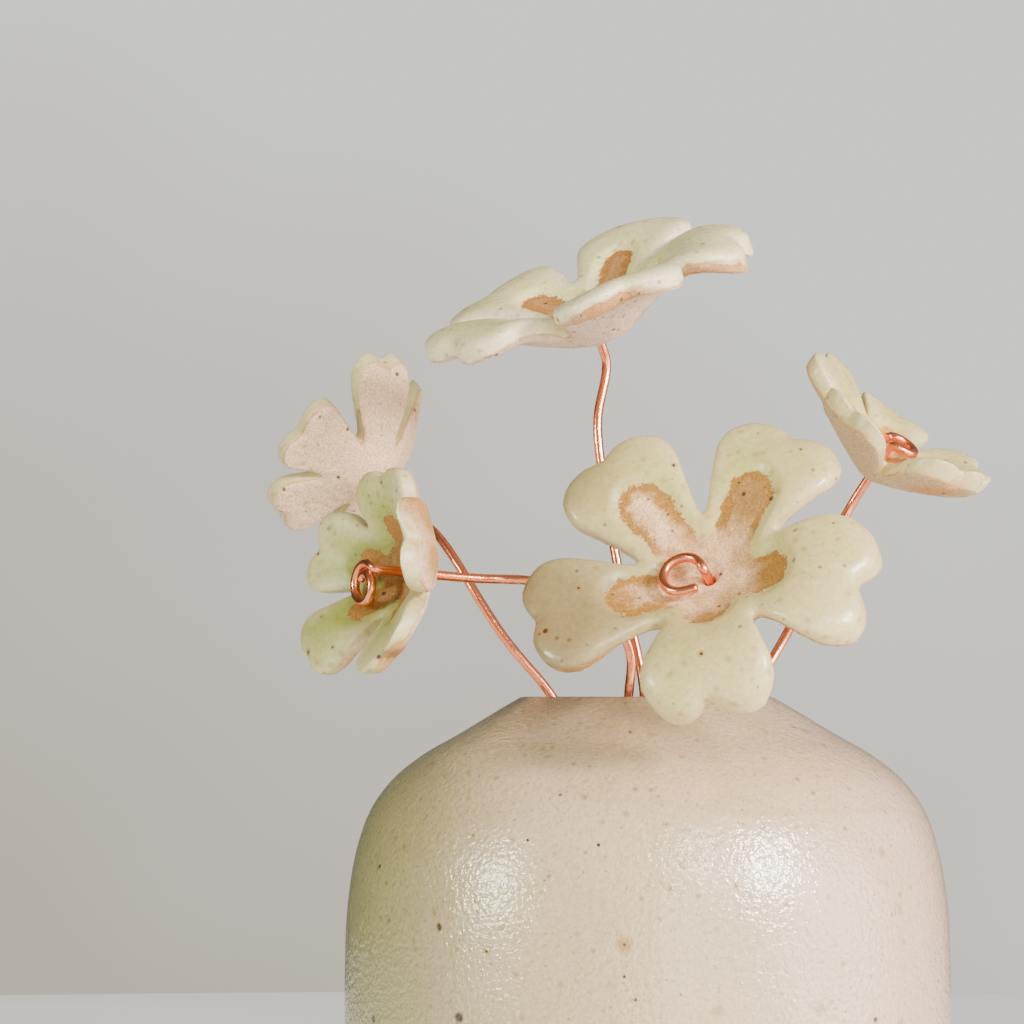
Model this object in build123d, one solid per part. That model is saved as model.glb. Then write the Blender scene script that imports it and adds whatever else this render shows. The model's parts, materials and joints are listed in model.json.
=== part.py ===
from build123d import *
import os
from dataclasses import dataclass
from math import atan2, cos, hypot, pi, radians, sin, sqrt

# A stoneware bud vase holding five hand-cut stoneware flowers on bent copper wires.
# Frame: origin at the centre of the flat base on the table, +Z up, front towards -Y.
# Each piece is written as its own STEP: the vase, five wire stems and five flowers.

# ---- driving dimensions, mm ----
VASE_HEIGHT = 80.0
BODY_RADIUS = 36.0
RIM_RADIUS = 15.0          # outer edge of the flat rim
MOUTH_RADIUS = 13.2        # clear opening that the stems pass through
WALL = 4.0
FLOOR = 6.0
FOOT_RADIUS = 31.0         # flat base that the vase stands on
FOOT_BEVEL = 4.0           # height of the bevel between the base and the wall

WIRE_RADIUS = 0.5
WIRE_HOLE_RADIUS = 0.85    # hole through each flower, loose on the wire
CURL_BEND = 0.9            # radius of the bend from the wire into its curl
CURL_GAP = 0.45            # between the curl and the steepest petal that turns under it
SHANK_BELOW = 5.2          # straight wire behind the hub's face, on the flower's axis

PETALS = 5
HUB_BOSS = 1.6             # extra thickness behind the hub
HUB_REACH = 0.36           # the rest are fractions of the flower's radius: centre disc,
BOWL_FLAT = 0.12           # flat middle of the bowl and rounding round it,
NECK_AT = 0.30             # centre and radius of a petal's neck,
NECK_RADIUS = 0.22
LOBE_AT = 0.76             # and how far out, how far aside and how large its two lobes are
LOBE_ASIDE = 0.18
LOBE_RADIUS = 0.235
CROSS_CURL = 0.05          # how strongly a petal curls down towards its two sides


@dataclass
class Blossom:
    """One flower. Angles in degrees: elevation and heading give the way its face looks
    (heading 0 looks to the front, 90 to the right), spin turns it about that axis and
    clay is the thickness of its sheet. The tuples hold one value for each petal."""
    hub: tuple
    elevation: float
    heading: float
    spin: float
    radius: float
    clay: float
    rise: tuple
    droop: tuple
    length: tuple
    width: tuple
    turn: tuple

    def plane(self):
        up, round_ = radians(self.elevation), radians(self.heading)
        axis = (sin(round_) * cos(up), -cos(round_) * cos(up), sin(up))
        return Plane(origin=self.hub, x_dir=(cos(round_), sin(round_), 0), z_dir=axis)

    def petal_angle(self, k):
        return self.spin + 360 / PETALS * k + self.turn[k]

    def face_height(self, x, y):
        """Height of the glazed face above the hub: each petal rises like a bowl and
        droops at its tip, and neighbouring petals blend smoothly into each other."""
        r, angle = hypot(x, y), atan2(y, x)
        flat = BOWL_FLAT * self.radius
        beyond = max(r - flat, 0)
        height = total = 0.0
        for k in range(PETALS):
            off = (angle - radians(self.petal_angle(k)) + pi) % (2 * pi) - pi
            share = max(0.0, 1 - abs(off) * PETALS / (2 * pi))
            weight = share * share * (3 - 2 * share)
            side = r * sin(off)
            bowl = self.rise[k] * (hypot(beyond, flat) - flat)
            tip = self.droop[k] * r**3 / self.radius**2
            height += weight * (bowl - tip - CROSS_CURL * side * side / self.radius)
            total += weight
        return height / total

    def back_height(self, x, y):
        """Height of the bare back, one clay thickness behind the face and a little
        lower at the hub."""
        step = 0.05
        slope_x = (self.face_height(x + step, y) - self.face_height(x - step, y)) / (2 * step)
        slope_y = (self.face_height(x, y + step) - self.face_height(x, y - step)) / (2 * step)
        steep = sqrt(1 + min(slope_x**2 + slope_y**2, 1.0))
        near_hub = max(0.0, 1 - hypot(x, y) / (HUB_REACH * self.radius)) ** 2
        return self.face_height(x, y) - self.clay * steep - HUB_BOSS * near_hub


@dataclass
class Stem:
    """One stem: straight inside the vase from foot to rim, bent through the points of
    bend above it, and curled on the flower's face. curl_start is the direction in which
    the curl begins, curl holds the radius and angle of its arcs, then comes a tail."""
    foot: tuple
    rim: tuple
    bend: tuple
    curl_start: float
    curl: tuple
    tail: float


def above_rim(x, y, z):
    return (x, y, VASE_HEIGHT + z)


FLOWERS = {
    "front": Blossom(hub=above_rim(7.0, -27.0, 13.4), elevation=33, heading=-22, spin=66,
                     radius=22.2, clay=2.0, rise=(0.66, 0.78, 0.51, 0.95, 0.74),
                     droop=(0.5, 0.37, 0.21, 0.9, 0.72), length=(0.94, 0.92, 0.97, 0.85, 0.88),
                     width=(0.82, 0.83, 0.79, 0.97, 1.0), turn=(2, 0, -5, 1, 3)),
    "top": Blossom(hub=above_rim(-6.6, 13.0, 46.4), elevation=63, heading=-41, spin=35,
                   radius=20.8, clay=2.4, rise=(0.97, 0.83, 0.47, 0.74, 0.92),
                   droop=(0.57, 0.43, 0.26, 0.32, 0.32), length=(1.02, 0.96, 1, 1.05, 1),
                   width=(0.92, 0.95, 0.92, 0.82, 0.95), turn=(-2, -5, -7, 5, 4)),
    "left": Blossom(hub=above_rim(-27.9, -17.0, 14.4), elevation=4, heading=-56, spin=90,
                    radius=12.5, clay=2.1, rise=(0.77, 0.73, 1.4, 0.73, 0.4),
                    droop=(0.3, 0.1, 0.45, 0.0, -0.3), length=(0.92, 1, 1.12, 1.02, 1.1),
                    width=(1.15, 0.95, 0.77, 0.95, 0.95), turn=(4, 5, -1, -4, -4)),
    "right": Blossom(hub=above_rim(28.4, 8.0, 28.8), elevation=52, heading=56, spin=34,
                     radius=13.1, clay=2.1, rise=(0.66, 0.83, 0.69, 0.45, 0.46),
                     droop=(0.38, 0.15, 0.0, -0.2, 0.0), length=(1, 1.05, 1, 1.05, 0.98),
                     width=(0.9, 0.9, 0.9, 0.87, 0.95), turn=(1, -3, 0, 0, 3)),
    "back": Blossom(hub=above_rim(-35.1, 24.0, 28.7), elevation=39, heading=218, spin=95,
                    radius=12.4, clay=2.1, rise=(0.82, 1.1, 0.58, 0.42, 0.45),
                    droop=(0.0, -0.1, 0.1, 0.1, 0.2), length=(1.01, 1.01, 1.02, 1, 1.03),
                    width=(0.82, 0.9, 0.92, 0.92, 0.9), turn=(-1, 0, 1, 2, -2)),
}

STEMS = {
    "front": Stem(foot=(14, 20, FLOOR + 0.7), rim=above_rim(5.5, -9.5, 0),
                  bend=(above_rim(6.6, -14.4, 5.4),),
                  curl_start=35, curl=((2.35, 250),), tail=1.6),
    "top": Stem(foot=(3, -21, FLOOR + 0.7), rim=above_rim(-0.3, 8.5, 0),
                bend=(above_rim(-1.5, 9.6, 6.9), above_rim(-3.6, 10.8, 16.5),
                      above_rim(-5.6, 12.6, 29), above_rim(-5.8, 13.6, 35)),
                curl_start=120, curl=((2.2, 270),), tail=1.0),
    "left": Stem(foot=(-6, -3, FLOOR + 0.7), rim=above_rim(-2.1, -9, 0),
                 bend=(above_rim(-1.8, -9.4, 4.3), above_rim(-5.2, -9.9, 10.4),
                       above_rim(-14.2, -11.2, 13.6)),
                 curl_start=60, curl=((2.3, 190), (1.7, 170), (1.1, 80)), tail=0.4),
    "right": Stem(foot=(-30, -3, FLOOR + 2.5), rim=above_rim(12.2, -2.5, 0),
                  bend=(above_rim(16.9, 0.8, 7.9), above_rim(22.75, 9.3, 19.4)),
                  curl_start=200, curl=((1.8, 270),), tail=0.8),
    "back": Stem(foot=(31, 6, FLOOR + 10), rim=above_rim(-11.3, 4.5, 0),
                 bend=(above_rim(-15.5, 4.6, 5.1), above_rim(-21.1, 6.0, 13.3),
                       above_rim(-25.6, 10.4, 19.8)),
                 curl_start=30, curl=((1.8, 280),), tail=0.6),
}


def vase():
    """Thrown vase: near-upright wall, rounded shoulder, straight sloping top and a crisp
    flat rim; flat base with a bevelled edge."""
    top = VASE_HEIGHT
    shoulder = (26.6, top - 6.7)
    outside = [
        Line((0, 0), (FOOT_RADIUS, 0)),
        Line((FOOT_RADIUS, 0), (BODY_RADIUS - 1, FOOT_BEVEL)),
        Spline((BODY_RADIUS - 1, FOOT_BEVEL), (BODY_RADIUS, 22), (BODY_RADIUS, top - 33),
               tangents=((0.2, 1), (0, 1))),
        Spline((BODY_RADIUS, top - 33), (34.6, top - 17.6), shoulder,
               tangents=((0, 1), (-1, 0.57))),
        Line(shoulder, (RIM_RADIUS, top)),
    ]
    throat = (MOUTH_RADIUS, top - 2.4)
    inner_radius = BODY_RADIUS - WALL
    corner = 6.0
    inside = [
        Line((RIM_RADIUS, top), (MOUTH_RADIUS, top)),
        Line((MOUTH_RADIUS, top), throat),
        Line(throat, (24.0, top - 9.6)),
        Spline((24.0, top - 9.6), (30.4, top - 18), (inner_radius, top - 33),
               tangents=((1, -0.6), (0, -1))),
        Line((inner_radius, top - 33), (inner_radius, FLOOR + corner)),
        RadiusArc((inner_radius, FLOOR + corner), (inner_radius - corner, FLOOR), corner),
        Line((inner_radius - corner, FLOOR), (0, FLOOR)),
        Line((0, FLOOR), (0, 0)),
    ]
    profile = make_face([Plane.XZ * line for line in outside + inside])
    body = revolve(profile, Axis.Z)
    rim_edges = body.edges().filter_by(GeomType.CIRCLE).filter_by_position(Axis.Z, top, top)
    return fillet(rim_edges, 0.35)


def petal_outline(flower, k):
    """A heart-shaped petal: two tapered lobes that share one neck."""
    size = flower.radius * flower.length[k]
    wide = flower.width[k]
    neck = Pos(NECK_AT * flower.radius, 0) * Circle(NECK_RADIUS * wide * flower.radius)
    lobes = Sketch()
    for side in (-1, 1):
        lobe = Pos(LOBE_AT * size, side * LOBE_ASIDE * wide * size) * Circle(
            LOBE_RADIUS * size * (1 + wide) / 2)
        lobes += make_hull(neck.edges() + lobe.edges())
    return Rot(0, 0, flower.petal_angle(k)) * lobes


def surface(flower, height):
    """The surface z = height(x, y) over a square that is larger than the flower."""
    reach, cells = 1.15 * flower.radius, 26
    places = [-reach + 2 * reach * i / cells for i in range(cells + 1)]
    return Face.make_surface_from_array_of_points(
        [[Vector(x, y, height(x, y)) for y in places] for x in places])


def blossom(flower):
    """Five petals cut from one sheet of clay, shaped to a bowl, with a hole for the wire."""
    depth = 3 * flower.radius
    outline = Circle(HUB_REACH * flower.radius)
    for k in range(PETALS):
        outline += petal_outline(flower, k)
    block = Pos(0, 0, -depth / 2) * extrude(outline, depth)
    under_face = extrude(surface(flower, flower.face_height), depth, dir=(0, 0, -1))
    under_back = extrude(surface(flower, flower.back_height), depth, dir=(0, 0, -1))
    clay = (block & under_face) - under_back
    clay -= Cylinder(WIRE_HOLE_RADIUS, 4 * depth)
    return flower.plane() * clay.solids().sort_by(SortBy.VOLUME)[-1]


def curl_lift(wire, flower):
    """Height of the curl's centre line above the hub: just clear of the steepest petal
    when the flower makes a full turn under it."""
    radius = wire.curl[0][0]
    reach = radius + hypot(radius, CURL_BEND) + WIRE_RADIUS
    steepest = max(flower.face_height(reach * cos(radians(a)), reach * sin(radians(a)))
                   for a in range(0, 360, 4))
    return steepest + WIRE_RADIUS + CURL_GAP


def stem(wire, flower):
    """Copper wire: straight in the vase, bent to the flower, through it and curled."""
    plane = flower.plane()
    start = radians(wire.curl_start)
    lift = curl_lift(wire, flower)
    foot, rim = Vector(*wire.foot), Vector(*wire.rim)
    inside = (rim - foot).normalized()

    def over_hub(x, y, z):
        return plane.from_local_coords(Vector(
            x * cos(start) - y * sin(start), x * sin(start) + y * cos(start), z))

    entry, corner = over_hub(0, 0, -SHANK_BELOW), over_hub(0, 0, lift - CURL_BEND)
    half_bend = over_hub(0, CURL_BEND * (1 - cos(pi / 4)), lift - CURL_BEND * (1 - sin(pi / 4)))
    path = [
        Line(foot, rim),
        Spline(rim, *wire.bend, entry, tangents=(inside, plane.z_dir)),
        Line(entry, corner),
        ThreePointArc(corner, half_bend, over_hub(0, CURL_BEND, lift)),
    ]
    x, y, heading = 0, CURL_BEND, pi / 2
    for radius, turn in wire.curl:
        centre_x, centre_y = x - radius * sin(heading), y + radius * cos(heading)
        arc = []
        for way in (heading, heading + radians(turn) / 2, heading + radians(turn)):
            x, y = centre_x + radius * sin(way), centre_y - radius * cos(way)
            arc.append(over_hub(x, y, lift))
        path.append(ThreePointArc(*arc))
        heading += radians(turn)
    tip = over_hub(x + wire.tail * cos(heading), y + wire.tail * sin(heading), lift)
    path.append(Line(arc[-1], tip))
    return sweep(Plane(origin=foot, z_dir=inside) * Circle(WIRE_RADIUS), path=Wire(path))


os.makedirs("parts", exist_ok=True)
export_step(vase(), "parts/vase_body.step")
for name, flower in FLOWERS.items():
    export_step(blossom(flower), f"parts/flower_{name}.step")
    export_step(stem(STEMS[name], flower), f"parts/stem_{name}.step")
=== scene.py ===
import json
import math

import bpy
import numpy as np
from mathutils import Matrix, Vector, kdtree, noise


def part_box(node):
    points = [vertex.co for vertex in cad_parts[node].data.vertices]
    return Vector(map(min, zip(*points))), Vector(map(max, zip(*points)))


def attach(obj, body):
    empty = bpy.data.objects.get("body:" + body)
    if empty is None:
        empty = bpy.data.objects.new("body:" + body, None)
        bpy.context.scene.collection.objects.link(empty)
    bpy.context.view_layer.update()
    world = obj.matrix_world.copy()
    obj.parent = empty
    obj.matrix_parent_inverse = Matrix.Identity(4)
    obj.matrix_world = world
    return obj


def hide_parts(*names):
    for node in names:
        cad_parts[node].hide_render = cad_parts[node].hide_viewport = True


# Looks of a stoneware bud vase with five stoneware flowers on copper wires.
# Metres throughout; MM turns millimetres into metres. Flowers are softened copies of
# their CAD nodes, wires are finely meshed copies and the vase is turned from its outline.

MM = 0.001
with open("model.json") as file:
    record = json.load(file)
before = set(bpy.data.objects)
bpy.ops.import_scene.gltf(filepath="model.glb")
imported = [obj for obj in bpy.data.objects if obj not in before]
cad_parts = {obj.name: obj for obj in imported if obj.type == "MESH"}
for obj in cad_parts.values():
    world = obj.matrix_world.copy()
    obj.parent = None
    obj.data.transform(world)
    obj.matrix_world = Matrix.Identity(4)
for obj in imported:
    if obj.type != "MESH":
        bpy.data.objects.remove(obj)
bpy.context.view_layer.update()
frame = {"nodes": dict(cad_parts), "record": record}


JOINTS = {joint["name"]: joint for joint in frame["record"]["behaviour"]["joints"]}

# ---------------------------------------------------------------- what each flower is like
# spin and turn place the petals as in the CAD. star is how far the bare star reaches along
# each petal and heart the radius of its middle, as shares of the flower's radius.
# toasted and shade are patches of burnt clay and of painted shade, darker brown-grey where
# petals turn from the light: angle in degrees, distance from the hub as a share of the radius,
# size in mm, strength. pits are dark iron spots: angle, share of the radius, size in mm.
# Colours are sRGB, 0-255.
FLOWERS = {
    "front": dict(
        radius=22.2, spin=66, turn=(2, 0, -5, 1, 3), seed=3, voxel=0.26,
        star=(0.60, 0.62, 0.52, 0.34, 0.46), star_width=0.13, heart=0.22,
        toasted=((68, 0.46, 3.8, 0.9), (357, 0.38, 2.9, 1.0), (206, 0.46, 2.6, 0.9),
                 (283, 0.30, 1.9, 0.9), (232, 0.80, 5.0, 0.9), (328, 0.60, 4.0, 0.8)),
        # painted shade on the left petal and on the left of the upper-left petal
        shade=((206, 0.88, 12.0, 0.9), (150, 0.95, 7.0, 0.6)),
        pits=((212, 0.86, 0.42), (284, 0.60, 0.26), (196, 0.64, 0.24), (114, 0.62, 0.24),
              (128, 0.40, 0.16), (330, 0.24, 0.2), (96, 0.72, 0.18), (60, 0.8, 0.18),
              (300, 0.22, 0.22), (40, 0.9, 0.2), (20, 0.7, 0.15), (250, 0.5, 0.16)),
        cream=(202, 188, 152), glaze=(194, 182, 138), glaze_deep=(170, 170, 118),
        under=(204, 184, 162), clay=(228, 196, 162), toast=(146, 110, 58),
        matte=0, sparkle=0.25),
    "top": dict(
        radius=20.8, spin=35, turn=(-2, -5, -7, 5, 4), seed=11, voxel=0.26,
        star=(0.50, 0.56, 0.54, 0.48, 0.40), star_width=0.105, heart=0.20,
        toasted=((107, 0.42, 4.0, 0.8), (172, 0.40, 4.0, 0.8), (35, 0.42, 4.0, 0.8),
                 (320, 0.95, 5.0, 0.9), (10, 0.9, 6.0, 0.8)),
        shade=(),
        pits=((185, 0.9, 0.3), (215, 0.8, 0.3), (300, 0.9, 0.3), (330, 0.7, 0.25),
              (20, 0.8, 0.25)),
        cream=(228, 218, 194), glaze=(240, 230, 188), glaze_deep=(222, 216, 164),
        under=(216, 198, 178), clay=(204, 178, 150), toast=(164, 122, 74),
        matte=0, sparkle=0.2),
    "left": dict(
        radius=12.5, spin=90, turn=(4, 5, -1, -4, -4), seed=23, voxel=0.2,
        star=(0.52, 0.50, 0.55, 0.52, 0.50), star_width=0.12, heart=0.26,
        toasted=((90, 0.95, 2.5, 0.9), (30, 0.95, 3.0, 0.9), (5, 0.85, 2.4, 0.9),
                 (306, 1.0, 2.6, 0.9), (234, 1.05, 2.4, 0.8), (265, 0.9, 2, 0.7)),
        shade=(),
        pits=((90, 0.8, 0.22), (110, 0.98, 0.25), (234, 0.98, 0.3), (300, 0.95, 0.35),
              (170, 0.9, 0.2), (310, 0.7, 0.15), (20, 0.8, 0.2), (250, 0.8, 0.18)),
        cream=(196, 186, 154), glaze=(158, 160, 100), glaze_deep=(134, 140, 78),
        under=(204, 184, 162), clay=(140, 106, 64), toast=(152, 114, 66),
        matte=0.16, sparkle=0.8),
    "right": dict(
        radius=13.1, spin=34, turn=(1, -3, 0, 0, 3), seed=37, voxel=0.2,
        star=(0.50, 0.52, 0.50, 0.55, 0.50), star_width=0.12, heart=0.24,
        toasted=((34, 1.0, 3.0, 0.9), (250, 0.8, 2.5, 0.9), (322, 0.95, 3.0, 0.9)),
        shade=(),
        pits=((300, 0.6, 0.25), (330, 0.8, 0.2)),
        cream=(204, 192, 160), glaze=(192, 180, 136), glaze_deep=(170, 166, 116),
        under=(188, 170, 142), clay=(204, 160, 112), toast=(184, 138, 84),
        matte=0.06, sparkle=0.2),
    "back": dict(
        radius=12.4, spin=95, turn=(-1, 0, 1, 2, -2), seed=41, voxel=0.2,
        star=(0.50, 0.50, 0.52, 0.50, 0.50), star_width=0.12, heart=0.24,
        toasted=(),
        shade=(),
        pits=((150, 0.9, 0.35), (20, 0.9, 0.25)),
        cream=(204, 192, 160), glaze=(188, 182, 138), glaze_deep=(168, 166, 118),
        under=(220, 196, 170), clay=(218, 196, 172), toast=(166, 128, 82),
        matte=0.12, sparkle=0.2),
}
PETALS = 5
SWELL = 0.5             # how far a petal's face bulges out, mm
FLOWER_PASSES = 40      # rounds of smoothing that turn its cut edges round
WIRE_VOXEL = 0.13       # mesh size, mm
WIRE_PASSES = 5
WIRE_GROWTH = 0.085     # gives back what smoothing takes off a wire's radius, mm
WIRE_DENTS = 0.012      # mm


# ---------------------------------------------------------------- shader building blocks
SATURATE = 1.45     # the render's film curve washes colour out, so pigments start stronger
PALE_BOOST = 0.5    # and pale pigments stronger still


def linear(rgb):
    mean = sum(rgb) / 3
    saturate = SATURATE + PALE_BOOST * max(1 - (max(rgb) - min(rgb)) / 80, 0)
    out = []
    for channel in rgb:
        c = min(max(mean + saturate * (channel - mean), 2), 254) / 255
        out.append(c / 12.92 if c <= 0.04045 else ((c + 0.055) / 1.055) ** 2.4)
    return (*out, 1.0)


class Shader:
    """Nodes of one material or world, built from small steps that each return a socket."""

    def __init__(self, owner):
        owner.use_nodes = True
        self.owner = owner
        self.tree = owner.node_tree
        self.tree.nodes.clear()

    def node(self, kind, **settings):
        made = self.tree.nodes.new(kind)
        for key, value in settings.items():
            setattr(made, key, value)
        return made

    def feed(self, socket, value):
        if value is None:
            return
        if isinstance(value, bpy.types.NodeSocket):
            self.tree.links.new(value, socket)
        else:
            socket.default_value = value

    def math(self, operation, a, b=None, c=None, clamp=False):
        made = self.node("ShaderNodeMath", operation=operation, use_clamp=clamp)
        for socket, value in zip(made.inputs, (a, b, c)):
            self.feed(socket, value)
        return made.outputs[0]

    def step(self, value, low, high, to_low=0.0, to_high=1.0):
        """Smooth change from to_low to to_high while value goes from low to high."""
        made = self.node("ShaderNodeMapRange", interpolation_type="SMOOTHSTEP")
        for socket, given in zip(made.inputs, (value, low, high, to_low, to_high)):
            self.feed(socket, given)
        return made.outputs[0]

    def mix(self, share, a, b, blend="MIX"):
        made = self.node("ShaderNodeMix", data_type="RGBA", blend_type=blend)
        self.feed(made.inputs[0], share)
        self.feed(made.inputs[6], a)
        self.feed(made.inputs[7], b)
        return made.outputs[2]

    def tint(self, value):
        """Grey of the given brightness, to multiply a colour by."""
        made = self.node("ShaderNodeCombineColor")
        for socket in made.inputs:
            self.feed(socket, value)
        return made.outputs[0]

    def place(self):
        """Position on the piece, in millimetres."""
        at = self.node("ShaderNodeTexCoord")
        made = self.node("ShaderNodeVectorMath", operation="SCALE")
        self.feed(made.inputs[0], at.outputs["Object"])
        made.inputs["Scale"].default_value = 1 / MM
        return made.outputs[0]

    def vector(self, operation, a, b=None):
        made = self.node("ShaderNodeVectorMath", operation=operation)
        self.feed(made.inputs[0], a)
        self.feed(made.inputs[1], b)
        return made.outputs["Value" if operation in ("DISTANCE", "DOT_PRODUCT") else "Vector"]

    def blend(self, share, a, b):
        """Mix of two numbers."""
        made = self.node("ShaderNodeMix", data_type="FLOAT")
        for socket, value in zip((made.inputs[0], made.inputs[2], made.inputs[3]), (share, a, b)):
            self.feed(socket, value)
        return made.outputs[0]

    def blend_vectors(self, share, a, b):
        made = self.node("ShaderNodeMix", data_type="VECTOR")
        for socket, value in zip((made.inputs[0], made.inputs[4], made.inputs[5]), (share, a, b)):
            self.feed(socket, value)
        return made.outputs[1]

    def parts(self, place):
        made = self.node("ShaderNodeSeparateXYZ")
        self.feed(made.inputs[0], place)
        return made.outputs

    def noise(self, place, size, detail=2.0, rough=0.5, warp=0.0):
        """Noise whose features are about size millimetres."""
        made = self.node("ShaderNodeTexNoise")
        self.feed(made.inputs["Vector"], place)
        made.inputs["Scale"].default_value = 1 / size
        made.inputs["Detail"].default_value = detail
        made.inputs["Roughness"].default_value = rough
        made.inputs["Distortion"].default_value = warp
        return made.outputs[0]

    def cells(self, place, size):
        """Scattered points about size millimetres apart: distance and random colour."""
        made = self.node("ShaderNodeTexVoronoi")
        self.feed(made.inputs["Vector"], place)
        made.inputs["Scale"].default_value = 1 / size
        return made.outputs["Distance"], self.parts(made.outputs["Color"])

    def specks(self, place, size, share, radius, softness=0.35):
        """Mask of round specks: one in each cell, present in only a share of the cells."""
        far, rolled = self.cells(place, size)
        grown = self.step(rolled[1], 0, 1, 0.45 * radius / size, radius / size)
        near = self.math("DIVIDE", far, grown)
        dot = self.step(near, 1 - softness, 1 + softness, 1, 0)
        return self.math("MULTIPLY", dot, self.math("LESS_THAN", rolled[0], share))

    def value(self, name):
        return self.node("ShaderNodeAttribute", attribute_name=name).outputs["Fac"]

    def bump(self, height, strength, depth, normal=None):
        """Bump of depth millimetres."""
        made = self.node("ShaderNodeBump")
        made.inputs["Strength"].default_value = strength
        made.inputs["Distance"].default_value = depth * MM
        self.feed(made.inputs["Height"], height)
        self.feed(made.inputs["Normal"], normal)
        return made.outputs[0]

    def finish(self, **inputs):
        surface = self.node("ShaderNodeBsdfPrincipled")
        for key, value in inputs.items():
            self.feed(surface.inputs[key.replace("_", " ")], value)
        out = self.node("ShaderNodeOutputMaterial")
        self.feed(out.inputs[0], surface.outputs[0])
        return self.owner


# ---------------------------------------------------------------- materials
def flower_glaze(s, look, place, slow, turned):
    """Glaze: thin and creamy on the high edges, greener where it pools, with painted shade over the
    shade patches.
    """
    pool = s.step(s.value("edge"), 0.4, 3.6, 0.1, 0.75)
    pool = s.math("ADD", pool, s.math("MULTIPLY_ADD", slow, 0.9, -0.45))
    pool = s.math("ADD", pool, s.step(s.value("star"), 3.0, 0.2, 0, 0.35), clamp=True)
    glaze = s.mix(pool, linear(look["cream"]), linear(look["glaze"]))
    deep = s.step(s.noise(place, 11, 2, 0.5, 0.6), 0.42, 0.7, 0, 0.75)
    glaze = s.mix(s.math("MULTIPLY", deep, pool), glaze, linear(look["glaze_deep"]))
    # painted shade: darker brown-grey over the shade patches, where petals turn from the light
    glaze = s.mix(s.value("shade"), glaze, linear((126, 113, 90)))
    mottle = s.step(s.noise(place, 0.6, 4, 0.7), 0.32, 0.70, 0.88, 1.07)
    glaze = s.mix(1.0, glaze, s.tint(mottle), "MULTIPLY")
    border = s.step(s.math("ABSOLUTE", s.math("ADD", turned, 0.28)), 0.02, 0.2, 0.75, 0)
    border = s.math("MULTIPLY", border, s.step(slow, 0.35, 0.6, 0.15, 1))
    return s.mix(border, glaze, linear(look["toast"]))


def flower_clay(s, look, place, outside, turned, star_bare, back_bare):
    """Bare clay: orange round the star's border and by the glaze line, beige elsewhere."""
    toasted = s.value("toasted")
    rim_of_star = s.step(outside, -2.1, -0.5, 0.0, 1.0)
    rim_of_star = s.math("MULTIPLY", rim_of_star, s.step(s.value("away"), 0.20, 0.38, 0.05, 1.0))
    patch = s.step(s.noise(place, 3.2, 2), 0.4, 0.6, 0.0, 0.85)
    reach = s.step(s.value("star"), -3.2, -1.4, 0.0, 0.6)
    orange = s.math("ADD", rim_of_star, s.math("MULTIPLY", patch, reach), clamp=True)
    orange = s.math("MULTIPLY", s.math("MAXIMUM", orange, toasted), star_bare)
    line = s.step(turned, -0.72, -0.36, 0.0, 0.85)
    line = s.math("MULTIPLY", line, s.step(s.noise(place, 4.5, 3), 0.40, 0.58, 0.12, 1))
    line = s.math("MULTIPLY", s.math("MAXIMUM", line, toasted), back_bare)
    orange = s.math("MAXIMUM", orange, line)
    clay = s.mix(star_bare, linear(look["under"]), linear(look["clay"]))
    pale = s.step(s.noise(place, 2.4, 3), 0.35, 0.7, 0, 0.3)
    clay = s.mix(pale, clay, linear((214, 190, 168)))
    clay = s.mix(orange, clay, linear(look["toast"]))
    grain = s.step(s.noise(place, 0.26, 4, 0.75), 0.32, 0.70, 0.62, 1.26)
    return s.mix(1.0, clay, s.tint(grain), "MULTIPLY")


def flower_specks(s, colour, here, place, bare, uneven, pits):
    """Iron specks: dark pits in the clay, softer ones that bleed through the glaze."""
    dark = s.specks(place, 1.9, 0.75, 0.28)
    soft = s.specks(s.vector("ADD", place, (5, 3, 1)), 1.5, 0.8, 0.36, 0.8)
    tiny = s.specks(s.vector("ADD", place, (1, 8, 4)), 0.65, 0.6, 0.09)
    pit = bleed = 0.0
    for point, size in pits:
        far = s.math("MULTIPLY_ADD", uneven, 0.7 * size, s.vector("DISTANCE", here, point))
        pit = s.math("MAXIMUM", s.step(far, 0.45 * size, 1.05 * size, 1, 0), pit)
        bleed = s.math("MAXIMUM", s.step(far, 0.8 * size, 2.4 * size, 0.55, 0), bleed)
    colour = s.mix(bleed, colour, linear((140, 108, 62)))
    colour = s.mix(s.math("MULTIPLY", soft, 0.45), colour, linear((120, 102, 70)))
    colour = s.mix(s.math("MULTIPLY", tiny, 0.45), colour, linear((110, 104, 88)))
    stronger = s.math("MULTIPLY_ADD", bare, 0.35, 0.55)
    colour = s.mix(s.math("MULTIPLY", dark, stronger), colour, linear((48, 36, 26)))
    return s.mix(s.math("MULTIPLY", pit, 0.92), colour, linear((40, 28, 16)))


def flower_relief(s, place, bare):
    """Normal: long waves in the glaze, sand grain in the clay, a step between them."""
    rolling = s.bump(s.noise(place, 0.75, 3, 0.5), 0.8, 0.07)
    sand = s.math("ADD", s.noise(place, 0.20, 3, 0.7), s.noise(place, 0.6, 3, 0.6))
    mixed = s.blend_vectors(bare, rolling, s.bump(sand, 1.0, 0.10))
    step_down = s.bump(s.math("SUBTRACT", 1.0, bare), 0.7, 0.10)
    return s.vector("NORMALIZE", s.vector("ADD", mixed, step_down))


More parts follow.
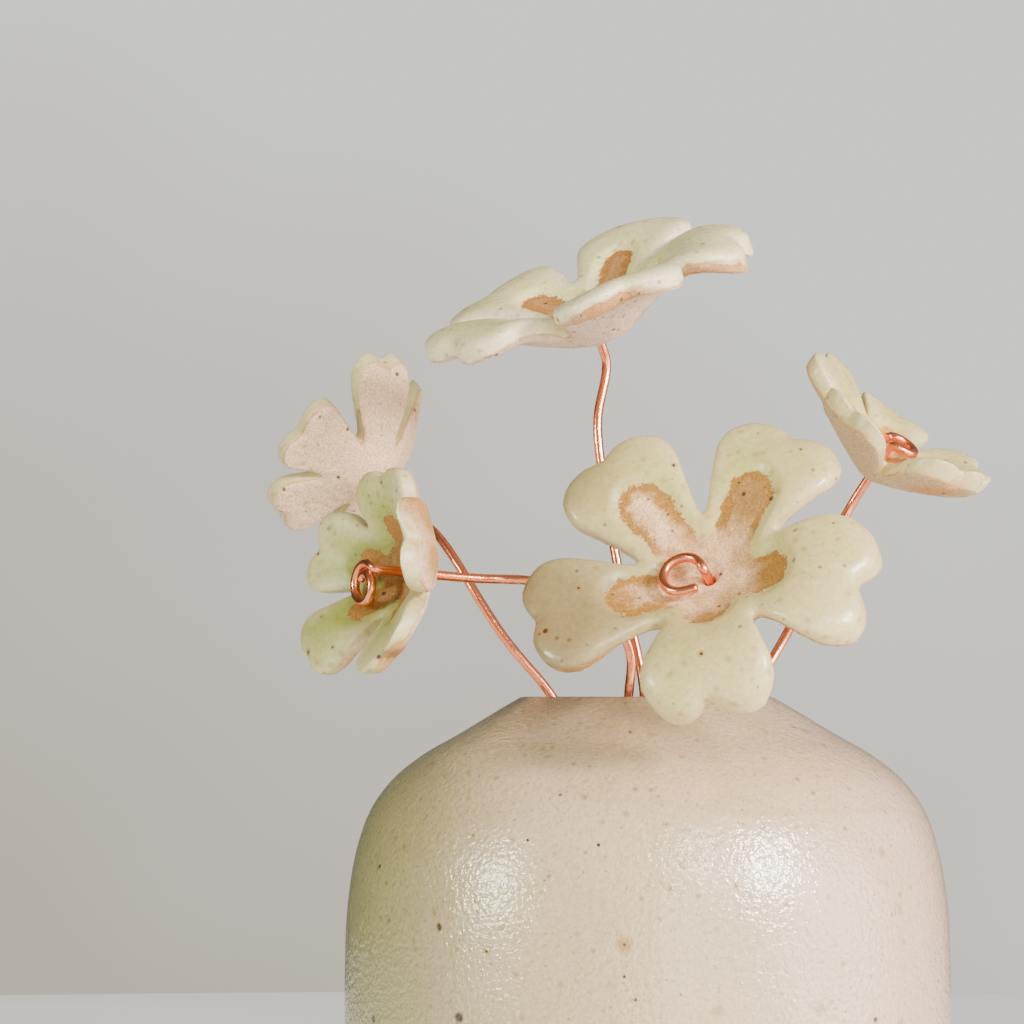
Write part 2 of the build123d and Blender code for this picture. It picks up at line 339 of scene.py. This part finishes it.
def flower_material(name, look, pits):
    """Celadon glaze over sandy clay. Vertex values: facing is 1 on the face and -1 on the
    back, star is the distance in millimetres outside the bare star, edge the distance
    from the petal's edge and away the distance from the hub as a share of the radius.
    Each of the pits is a place and a size in millimetres."""
    s = Shader(bpy.data.materials.new(f"flower_{name}_glaze"))
    here = s.place()
    place = s.vector("ADD", here, (look["seed"], 2 * look["seed"], 0))
    facing = s.value("facing")
    ragged = s.math("SUBTRACT", s.noise(place, 1.1, 4, 0.65), 0.5)
    fine_ragged = s.math("SUBTRACT", s.noise(place, 0.35, 3, 0.7), 0.5)
    slow = s.noise(place, 7, 2)

    # the glaze stops short of the star and of the back, along ragged lines
    outside = s.math("MULTIPLY_ADD", ragged, 2.2, s.value("star"))
    outside = s.math("MULTIPLY_ADD", fine_ragged, 1.1, outside)
    star_bare = s.step(outside, -0.12, 0.16, 1, 0)
    star_bare = s.math("MULTIPLY", star_bare, s.step(facing, 0.05, 0.3))
    turned = s.math("MULTIPLY_ADD", ragged, 0.5, facing)
    turned = s.math("MULTIPLY_ADD", s.math("SUBTRACT", slow, 0.5), 0.7, turned)
    turned = s.math("MULTIPLY_ADD", s.value("toasted"), -0.55, turned)
    back_bare = s.step(turned, -0.42, -0.30, 1, 0)
    bare = s.math("MAXIMUM", star_bare, back_bare)

    clay = flower_clay(s, look, place, outside, turned, star_bare, back_bare)
    colour = s.mix(bare, flower_glaze(s, look, place, slow, turned), clay)
    colour = flower_specks(s, colour, here, place, bare, fine_ragged, pits)
    normal = flower_relief(s, place, bare)
    matte = look["matte"]
    glint = s.math("MULTIPLY", s.specks(place, 0.33, 0.3, 0.12), look["sparkle"])
    rough_clay = s.math("MULTIPLY_ADD", glint, -0.5, 0.78)
    rough_glaze = s.step(s.noise(place, 1.3, 3), 0.3, 0.7, 0.30 + matte, 0.46 + matte)
    return s.finish(Base_Color=colour, Normal=normal,
                    Roughness=s.blend(bare, rough_glaze, rough_clay),
                    Coat_Weight=s.step(bare, 0, 1, 0.35, 0.0), Coat_Roughness=0.2 + matte,
                    Coat_Normal=normal)


# Iron spots on the vase that stand out: angle from the front in degrees (right positive),
# height in mm, radius of the dark core, radius of its halo.
IRON_SPOTS = (
    (-41, 54, 0.35, 0.85), (-30, 51.5, 0.15, 0.8), (-4, 52.5, 0.2, 1.35),
    (-36, 44, 0.5, 0.9), (-61, 43, 0.35, 0.7), (26, 57, 0.1, 0.65),
    (38, 50, 0.1, 0.6), (46, 43.5, 0.3, 0.8), (-5, 76, 0.1, 0.4),
    (55, 76.5, 0.1, 0.5), (57, 74.5, 0.1, 0.5), (-62, 60.5, 0.2, 0.4),
    (-9, 63.5, 0.2, 0.3), (55, 63, 0.15, 0.4), (-67, 52.5, 0.15, 0.5),
    (-2, 46.5, 0.15, 0.3), (-4, 49, 0.15, 0.3), (-18, 69, 0.1, 0.4),
    (6, 47, 0.1, 0.3), (-67, 45, 0.15, 0.4), (-23, 64, 0.1, 0.3),
    (11, 62, 0.1, 0.3), (-19, 59.5, 0.1, 0.3),
    (100, 60, 0.4, 1.0), (128, 44, 0.35, 1.2), (160, 66, 0.2, 0.8), (-150, 52, 0.45, 1.1),
    (-118, 30, 0.3, 1.0), (-100, 64, 0.2, 0.7), (12, 22, 0.35, 1.2), (-20, 14, 0.3, 0.9),
    (70, 20, 0.4, 1.0), (-80, 16, 0.3, 0.9), (170, 24, 0.3, 1.1),
)


def vase_glaze(s, place, x, z):
    """Pinkish cream glaze with painted shade and a painted green reflection to the left, painted
    light to the right, and a faint line where two pours overlap.
    """
    slow = s.noise(place, 24, 2)
    cloud = s.noise(s.vector("ADD", place, (9, 4, 2)), 7, 3, 0.55)
    glaze = s.mix(s.step(slow, 0.35, 0.65), linear((195, 178, 158)), linear((188, 171, 148)))
    glaze = s.mix(s.step(cloud, 0.42, 0.72, 0, 0.45), glaze, linear((172, 160, 128)))
    # painted shade and painted green reflection: darker, greener glaze towards the left
    glaze = s.mix(s.step(x, -12, -36, 0, 0.85), glaze, linear((140, 137, 106)))
    # painted light: paler, pinker glaze towards the right
    glaze = s.mix(s.step(x, 5, 34, 0, 0.5), glaze, linear((212, 188, 174)))
    grain = s.step(s.noise(place, 0.42, 3, 0.65), 0.34, 0.72, 1.08, 0.84)
    glaze = s.mix(1.0, glaze, s.tint(grain), "MULTIPLY")
    ring = s.math("MULTIPLY_ADD", slow, 7, s.math("MULTIPLY_ADD", x, 0.06, z))
    pour = s.step(s.math("ABSOLUTE", s.math("SUBTRACT", ring, 71.5)), 0.1, 0.55, 0.25, 0)
    return s.mix(pour, glaze, linear((168, 150, 128)))


def vase_specks(s, colour, place, radius_at):
    """Three sizes of speckle everywhere, then the larger spots with a yellow-olive halo."""
    faint = s.specks(place, 0.85, 0.8, 0.15, 0.7)
    fleck = s.specks(s.vector("ADD", place, (3, 1, 7)), 2.1, 0.85, 0.34, 0.7)
    spot = s.specks(s.vector("ADD", place, (2, 6, 5)), 4.8, 0.7, 0.62, 0.8)
    colour = s.mix(s.math("MULTIPLY", faint, 0.6), colour, linear((112, 98, 80)))
    colour = s.mix(s.math("MULTIPLY", fleck, 0.6), colour, linear((112, 94, 66)))
    colour = s.mix(s.math("MULTIPLY", spot, 0.55), colour, linear((130, 108, 62)))
    halo = core = 0.0
    uneven = s.math("SUBTRACT", s.noise(place, 0.7, 3), 0.5)
    for angle, height, core_radius, halo_radius in IRON_SPOTS:
        turn, reach = math.radians(angle), radius_at(height)
        middle = (reach * math.sin(turn), -reach * math.cos(turn), height)
        far = s.math("MULTIPLY_ADD", uneven, 0.45, s.vector("DISTANCE", place, middle))
        halo = s.math("MAXIMUM", s.step(far, 0.25 * halo_radius, halo_radius, 1, 0), halo)
        core = s.math("MAXIMUM", s.step(far, 0.6 * core_radius, 1.6 * core_radius, 1, 0), core)
    colour = s.mix(s.math("MULTIPLY", halo, 0.75), colour, linear((138, 116, 40)))
    return s.mix(s.math("MULTIPLY", core, 0.95), colour, linear((30, 22, 8)))


def vase_foot(s, colour, place, z):
    """Bare, warmer clay on the bevel of the foot and under the base."""
    foot = s.math("MULTIPLY_ADD", s.math("SUBTRACT", s.noise(place, 3, 3), 0.5), 1.2, z)
    bare = s.step(foot, 2.6, 2.9, 1, 0)
    clay = s.mix(s.step(s.noise(place, 4, 3), 0.35, 0.7), linear((196, 170, 142)),
                 linear((180, 146, 112)))
    grain = s.step(s.noise(place, 0.3, 4, 0.7), 0.3, 0.7, 0.8, 1.15)
    clay = s.mix(1.0, clay, s.tint(grain), "MULTIPLY")
    toast = s.step(s.math("ABSOLUTE", s.math("SUBTRACT", foot, 2.75)), 0.1, 0.7, 0.8, 0)
    colour = s.mix(bare, colour, clay)
    return bare, s.mix(toast, colour, linear((186, 124, 70)))


def vase_material(radius_at):
    s = Shader(bpy.data.materials.new("vase_speckled_glaze"))
    place = s.place()
    x, _, z = s.parts(place)
    colour = vase_specks(s, vase_glaze(s, place, x, z), place, radius_at)
    bare, colour = vase_foot(s, colour, place, z)
    normal = s.bump(s.noise(place, 0.62, 2, 0.5), 1.0, 0.13)
    normal = s.bump(s.noise(place, 2.6, 2), 0.5, 0.14, normal)
    sand = s.math("MULTIPLY", s.noise(place, 0.25, 3, 0.7), bare)
    normal = s.bump(sand, 1.0, 0.1, normal)
    rough = s.step(s.noise(place, 1.6, 3), 0.3, 0.72, 0.24, 0.36)
    rough = s.math("MULTIPLY_ADD", bare, 0.45, rough)
    return s.finish(Base_Color=colour, Roughness=rough, Normal=normal,
                    Coat_Weight=s.step(bare, 0, 1, 1.0, 0), Coat_Roughness=0.08,
                    Coat_Normal=normal)


def copper_material():
    s = Shader(bpy.data.materials.new("copper_wire"))
    place = s.place()
    tarnish = s.step(s.noise(place, 3.5, 3, 0.6), 0.42, 0.70, 0, 0.55)
    drawn = s.vector("MULTIPLY", place, (1, 1, 0.15))
    streak = s.step(s.noise(drawn, 0.22, 3, 0.6), 0.4, 0.75, 0, 0.30)
    colour = s.mix(tarnish, linear((234, 164, 134)), linear((196, 112, 80)))
    colour = s.mix(streak, colour, linear((150, 84, 58)))
    scratch = s.noise(s.vector("MULTIPLY", place, (1, 1, 0.08)), 0.10, 2)
    normal = s.bump(scratch, 0.4, 0.02)
    normal = s.bump(s.noise(place, 2.4, 2), 0.3, 0.03, normal)
    rough = s.math("MULTIPLY_ADD", tarnish, 0.16, s.math("MULTIPLY_ADD", streak, 0.2, 0.20))
    return s.finish(Base_Color=colour, Metallic=1.0, Roughness=rough, Normal=normal)


# ---------------------------------------------------------------- meshes
def read(items, field, width=1, kind=float):
    """One value or row of values for each item of a mesh."""
    values = np.empty(len(items) * width, kind)
    items.foreach_get(field, values)
    return values.reshape(-1, width) if width > 1 else values


def softened(node_name, name, voxel, passes):
    """A fine, evenly meshed copy of a CAD node with its edges rounded by smoothing."""
    source = frame["nodes"][node_name]
    rough_mesh = source.data.copy()
    rough_mesh.transform(source.matrix_world)
    holder = bpy.data.objects.new(name + "_rough", rough_mesh)
    bpy.context.scene.collection.objects.link(holder)
    weld = holder.modifiers.new("weld", "WELD")
    weld.merge_threshold = 0.002 * MM
    remesh = holder.modifiers.new("remesh", "REMESH")
    remesh.mode = "VOXEL"
    remesh.voxel_size = voxel * MM
    graph = bpy.context.evaluated_depsgraph_get()
    mesh = bpy.data.meshes.new_from_object(holder.evaluated_get(graph))
    bpy.data.objects.remove(holder)
    points = smooth(read(mesh.vertices, "co", 3), read(mesh.edges, "vertices", 2, int), passes)
    move_points(mesh, points)
    mesh.name = name
    mesh.materials.clear()
    mesh.polygons.foreach_set("use_smooth", np.ones(len(mesh.polygons), bool))
    made = bpy.data.objects.new(name, mesh)
    bpy.context.scene.collection.objects.link(made)
    return made


def move_points(mesh, points):
    mesh.vertices.foreach_set("co", points.ravel())
    mesh.update()


def smooth(points, ends, passes):
    """Moves each point halfway to the mean of its neighbours, over and over."""
    count = len(points)
    a, b = ends.T
    valence = np.bincount(a, minlength=count) + np.bincount(b, minlength=count)
    for _ in range(passes):
        mean = np.stack([np.bincount(a, points[b, i], count) + np.bincount(b, points[a, i], count)
                         for i in range(3)], 1) / valence[:, None]
        points = points + 0.5 * (mean - points)
    return points


def waves(local, rate, shift):
    """Smooth noise between -1 and 1 at each point, with rate waves to the millimetre."""
    return np.array([noise.noise(Vector(point) * rate + shift) for point in local])


def flower_axes(joint):
    """Local axes of a flower: right, up and out of its face."""
    out = Vector(joint["axis"]).normalized()
    heading = math.atan2(out.x, -out.y)
    right = Vector((math.cos(heading), math.sin(heading), 0))
    return np.array([right, out.cross(right), out])


def beyond_star(look, local):
    """Distance in mm outside the bare star, for points in the flower's own axes."""
    radius = look["radius"]
    x, y = local[:, 0], local[:, 1]
    width = look["star_width"] * radius
    soften = 0.06 * radius
    gap = np.hypot(x, y) - look["heart"] * radius
    for k in range(PETALS):
        angle = math.radians(look["spin"] + 360 / PETALS * k + look["turn"][k])
        along = x * math.cos(angle) + y * math.sin(angle)
        aside = y * math.cos(angle) - x * math.sin(angle)
        length = look["star"][k] * radius - width
        past = np.maximum(along - length, 0) + np.maximum(-along, 0) * 3
        flare = width * (0.72 + 0.28 * np.clip(along / length, 0, 1))
        lobe = np.hypot(past, aside) - flare
        blend = np.clip(0.5 + 0.5 * (lobe - gap) / soften, 0, 1)
        gap = lobe * (1 - blend) + gap * blend - soften * blend * (1 - blend)
    return gap


def edge_distance(local, facing):
    """Distance in mm of each point from the nearest side wall of the flower."""
    sides = np.flatnonzero(np.abs(facing) < 0.12)
    tree = kdtree.KDTree(len(sides))
    for i, k in enumerate(sides):
        tree.insert(Vector(local[k]), i)
    tree.balance()
    return np.array([tree.find(Vector(point))[2] for point in local])


def worked_clay(look, local, facing, values):
    """Lift in mm of each point along its normal: slow waves everywhere, a grainy surface on
    the bare back, and petals that swell under a coat of glaze which stops at the star."""
    slow = waves(local, 0.16, Vector((look["seed"], 0, 0)))
    grains = waves(local, 1.3, Vector((0, look["seed"], 0)))
    back = np.clip(-facing * 2, 0, 1)
    lift = 0.25 * slow + 0.07 * grains * back + 0.03 * grains
    lift *= np.clip((values["away"] * look["radius"] - 1.5) / 1.5, 0, 1)
    swell = np.clip(values["edge"] / 2.6, 0, 1)
    coated = np.clip(values["star"] / 1.2, 0, 1)
    return lift + SWELL * swell * (2 - swell) * coated * np.clip(facing * 2.5 - 0.3, 0, 1)


def make_flower(name, look):
    joint = JOINTS[f"{name}_flower_turn"]
    made = softened(f"flower_{name}", f"flower_{name}_clay", look["voxel"], FLOWER_PASSES)
    mesh = made.data
    radius = look["radius"]
    points, normals = read(mesh.vertices, "co", 3), read(mesh.vertices, "normal", 3)
    axes = flower_axes(joint)
    local = (points - np.array(joint["pos_m"])) @ axes.T / MM
    facing = normals @ axes[2]
    values = {"facing": facing, "star": beyond_star(look, local),
              "edge": edge_distance(local, facing),
              "away": np.hypot(local[:, 0], local[:, 1]) / radius}
    lift = worked_clay(look, local, facing, values)
    points = smooth(points + normals * (lift * MM)[:, None], read(mesh.edges, "vertices", 2, int), 3)
    move_points(mesh, points)

    def from_spot(angle, share):
        """Distance in mm of each point from a spot on the flower, seen along its axis."""
        a, reach = math.radians(angle), share * radius
        return np.hypot(local[:, 0] - reach * math.cos(a), local[:, 1] - reach * math.sin(a))

    for key in ("toasted", "shade"):
        mark = np.zeros(len(points))
        for angle, share, size, strength in look[key]:
            near = np.clip(1.5 - from_spot(angle, share) / size, 0, 1)
            mark = np.maximum(mark, strength * near)
        values[key] = mark
    for key, numbers in values.items():
        layer = mesh.attributes.new(key, "FLOAT", "POINT")
        layer.data.foreach_set("value", numbers.astype(np.float32))
    pits = []
    for angle, share, size in look["pits"]:
        nearest = np.argmin(from_spot(angle, share) + 9 * (facing < 0))
        pits.append((tuple(points[nearest] / MM), size))
    mesh.materials.append(flower_material(name, look, pits))
    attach(made, f"{name}_flower")
    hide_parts(f"flower_{name}")


def make_wire(name, material):
    made = softened(f"stem_{name}", f"stem_{name}_wire", WIRE_VOXEL, WIRE_PASSES)
    points, normals = read(made.data.vertices, "co", 3), read(made.data.vertices, "normal", 3)
    dents = waves(points / MM, 0.45, Vector((0, 0, 0)))
    move_points(made.data, points + normals * (WIRE_GROWTH + WIRE_DENTS * dents)[:, None] * MM)
    made.data.materials.append(material)
    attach(made, f"{name}_stem")
    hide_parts(f"stem_{name}")


# Outline of the vase, (radius, height) in mm: base, wall, shoulder, rim, then the inside.
OUTLINE = (
    (0.0, 0.0), (18.0, 0.0), (30.2, 0.0), (31.0, 0.25), (33.0, 2.2), (34.6, 3.9), (35.2, 6.5),
    (35.75, 14.0), (36.0, 24.0), (36.0, 36.0), (36.0, 47.0), (35.6, 56.2), (34.5, 62.4),
    (33.0, 66.6), (30.4, 70.2), (26.8, 73.1), (22.4, 75.6), (18.0, 78.2), (15.4, 79.72),
    (15.0, 79.93), (14.7, 80.0), (14.1, 80.02), (13.6, 80.0), (13.3, 79.88), (13.2, 79.5),
    (13.2, 78.5), (13.35, 77.5), (14.4, 76.7), (19.0, 73.6), (24.0, 70.4), (28.0, 66.4),
    (30.6, 61.0), (31.7, 54.0), (32.0, 46.0), (32.0, 30.0), (32.0, 12.5), (31.3, 9.0),
    (29.0, 6.7), (25.5, 6.0), (12.0, 6.0), (0.0, 6.0),
)
OUTLINE_RADIUS, OUTLINE_HEIGHT = 36.0, 80.0
OUTSIDE_POINTS = 18     # points of the outline on the outside, up to the rim
PIECES = 7              # pieces of curve from one point to the next
AROUND = 320            # points in each ring of the turned mesh


def curve_through(points, pieces):
    """Smooth curve through points, with tangents weighted by the spacing."""
    p = np.array(points, float)
    gap = np.linalg.norm(np.diff(p, axis=0), axis=1)
    slope = np.diff(p, axis=0) / gap[:, None]
    inner = slope[:-1] * gap[1:, None] + slope[1:] * gap[:-1, None]
    tangent = np.vstack([slope[:1], inner / (gap[1:] + gap[:-1])[:, None], slope[-1:]])
    out = [p[0]]
    for i in range(len(gap)):
        for t in np.linspace(0, 1, pieces + 1)[1:]:
            h00, h10 = 2 * t**3 - 3 * t**2 + 1, t**3 - 2 * t**2 + t
            h01, h11 = -2 * t**3 + 3 * t**2, t**3 - t**2
            out.append(h00 * p[i] + h10 * gap[i] * tangent[i] + h01 * p[i + 1]
                       + h11 * gap[i] * tangent[i + 1])
    return np.array(out)


def vase_profile():
    """The outline as a fine curve, scaled to the CAD node's own box."""
    low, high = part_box("vase_body")
    profile = np.maximum(curve_through(OUTLINE, PIECES), 0)
    profile[:, 0] *= (high[0] - low[0]) / 2 / MM / OUTLINE_RADIUS
    profile[:, 1] *= (high[2] - low[2]) / MM / OUTLINE_HEIGHT
    return profile


def thrown(profile, angles):
    """Points of the turned body, with faint throwing rings and a hand's uneven roundness."""
    r, z = profile[:, 0][:, None], profile[:, 1][:, None]
    outer = (np.arange(len(profile)) < OUTSIDE_POINTS * PIECES)[:, None] & (z > 1)
    grip = np.clip((78 - z) / 6, 0, 1) * np.clip((z - 4) / 4, 0, 1) * outer
    rings = 0.004 * np.sin(2 * math.pi * z / 2.9 + angles) + 0.012 * np.sin(z * 0.55 + angles + 1)
    oval = 0.072 * np.cos(2 * angles + 0.6) + 0.03 * np.cos(3 * angles + 2)
    r = r + (rings - 0.12 + oval) * grip
    return np.stack([r * np.sin(angles), -r * np.cos(angles), z + 0 * angles], 2)


def make_vase():
    profile = vase_profile()
    points = thrown(profile, np.arange(AROUND) / AROUND * 2 * math.pi).reshape(-1, 3)
    faces = []
    for i in range(len(profile) - 1):
        here, above = i * AROUND, (i + 1) * AROUND
        for j in range(AROUND):
            k = (j + 1) % AROUND
            faces.append((here + j, here + k, above + k, above + j))
    mesh = bpy.data.meshes.new("vase_body_glazed")
    mesh.from_pydata(points * MM, [], faces)
    mesh.validate()
    mesh.polygons.foreach_set("use_smooth", np.ones(len(mesh.polygons), bool))
    made = bpy.data.objects.new("vase_body_glazed", mesh)
    bpy.context.scene.collection.objects.link(made)
    weld = made.modifiers.new("weld", "WELD")
    weld.merge_threshold = 0.001 * MM

    outside = profile[:OUTSIDE_POINTS * PIECES + 1]
    radii, heights = outside[np.argsort(outside[:, 1])].T
    mesh.materials.append(vase_material(lambda h: float(np.interp(h, heights, radii))))
    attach(made, "vase")
    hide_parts("vase_body")


make_vase()
copper = copper_material()
for flower_name, flower_look in FLOWERS.items():
    make_wire(flower_name, copper)
    make_flower(flower_name, flower_look)


# ---------------------------------------------------------------- table, light and camera
TABLE_RADIUS = 0.711
TABLE_GLOW = 0.28               # light that the table, the wall and the room give off
WALL_GLOW = 1.75
ROOM_GLOW = 0.55
AIM = Vector((0, 0, 0.09))      # what every lamp points at
CAMERA_DISTANCE = 0.550
CAMERA_LENS = 162.5             # focal length in mm, on a 36 mm wide sensor
CAMERA_TIP, CAMERA_TURN = math.radians(2.29), math.radians(1.667)   # up and to the left

# Lamps: azimuth (0 in front of the vase, 90 to its right), elevation, distance, size,
# watts, colour.
LAMPS = {
    "window_left": (-60, 13, 1.3, (0.27, 0.27), 11, (0.90, 1.0, 0.80)),
    "window_right": (50, 20, 1.3, (0.31, 0.28), 31, (1.0, 0.96, 0.94)),
    "glint_right": (20, 25, 1.4, (0.22, 0.16), 6, (1.0, 1.0, 1.0)),
    "fill_right": (75, 2, 1.3, (0.9, 0.9), 15, (1.0, 0.95, 0.93)),
    "fill_front": (15, -2, 1.5, (1.1, 0.8), 7, (1.0, 0.97, 0.93)),
}


def table_material():
    s = Shader(bpy.data.materials.new("pale_table"))
    place = s.place()
    worn = s.step(s.noise(place, 90, 3), 0.3, 0.7)
    colour = s.mix(worn, linear((242, 242, 240)), linear((236, 236, 235)))
    normal = s.bump(s.noise(place, 3, 3), 0.2, 0.1)
    return s.finish(Base_Color=colour, Roughness=0.6, Normal=normal,
                    Emission_Color=colour, Emission_Strength=TABLE_GLOW)


def make_table():
    around = 128
    angles = [2 * math.pi * i / around for i in range(around)]
    points = [(TABLE_RADIUS * math.cos(a), TABLE_RADIUS * math.sin(a), 0) for a in angles]
    mesh = bpy.data.meshes.new("table")
    mesh.from_pydata(points, [], [tuple(range(around))])
    made = bpy.data.objects.new("table", mesh)
    bpy.context.scene.collection.objects.link(made)
    mesh.materials.append(table_material())


def make_lamp(name, azimuth, elevation, distance, size, watts, colour):
    a, e = math.radians(azimuth), math.radians(elevation)
    way = Vector((math.sin(a) * math.cos(e), -math.cos(a) * math.cos(e), math.sin(e)))
    lamp = bpy.data.lights.new(name, "AREA")
    lamp.shape = "ELLIPSE"
    lamp.size, lamp.size_y = size
    lamp.energy = watts
    lamp.color = colour
    made = bpy.data.objects.new(name, lamp)
    made.location = AIM + way * distance
    made.rotation_mode = "QUATERNION"
    made.rotation_quaternion = way.to_track_quat("Z", "Y")
    made.visible_camera = False
    bpy.context.scene.collection.objects.link(made)


def glow(s, value, stops, colours, strength):
    """World background whose colour runs from one colour to the other with value."""
    ramp = s.node("ShaderNodeValToRGB")
    for element, stop, colour in zip(ramp.color_ramp.elements, stops, colours):
        element.position, element.color = stop, colour
    s.feed(ramp.inputs[0], value)
    background = s.node("ShaderNodeBackground")
    s.feed(background.inputs["Color"], ramp.outputs[0])
    s.feed(background.inputs["Strength"], strength)
    return background.outputs[0]


def make_world():
    world = bpy.data.worlds.new("studio")
    bpy.context.scene.world = world
    s = Shader(world)
    at = s.node("ShaderNodeTexCoord")
    # what the camera sees: a soft grey wall with painted shade, a little darker towards the lower
    # left
    slope = s.vector("DOT_PRODUCT", at.outputs["Window"], (0.35, 0.55, 0))
    wall_shade_and_clouds = s.math("MULTIPLY_ADD", s.noise(at.outputs["Generated"], 1 / 9, 1), 0.35, slope)
    wall = glow(s, wall_shade_and_clouds, (0.25, 0.8), (linear((160, 155, 148)), linear((200, 200, 197))),
                WALL_GLOW)
    # what lights the object: a room that is bright on the right and dim on the left
    toward = s.vector("DOT_PRODUCT", at.outputs["Generated"], (0.40, -0.28, -0.06))
    room = glow(s, s.math("ADD", toward, 0.5), (0.0, 1.0),
                ((0.13, 0.15, 0.09, 1), (1.25, 1.16, 1.12, 1)), ROOM_GLOW)
    mixer = s.node("ShaderNodeMixShader")
    s.feed(mixer.inputs[0], s.node("ShaderNodeLightPath").outputs["Is Camera Ray"])
    s.feed(mixer.inputs[1], room)
    s.feed(mixer.inputs[2], wall)
    s.feed(s.node("ShaderNodeOutputWorld").inputs[0], mixer.outputs[0])


def make_camera():
    """A long lens level with the rim, tipped up and turned a little to the left."""
    lens = bpy.data.cameras.new("camera")
    lens.sensor_width = 36.0
    lens.lens = CAMERA_LENS
    lens.clip_start, lens.clip_end = 0.01, 50
    camera = bpy.data.objects.new("camera", lens)
    rim_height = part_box("vase_body")[1][2]
    camera.location = (0, -CAMERA_DISTANCE, rim_height)
    camera.rotation_euler = (math.pi / 2 + CAMERA_TIP, 0, CAMERA_TURN)
    bpy.context.scene.collection.objects.link(camera)
    bpy.context.scene.camera = camera


make_table()
make_world()
for lamp_name, lamp_settings in LAMPS.items():
    make_lamp(lamp_name, *lamp_settings)
make_camera()
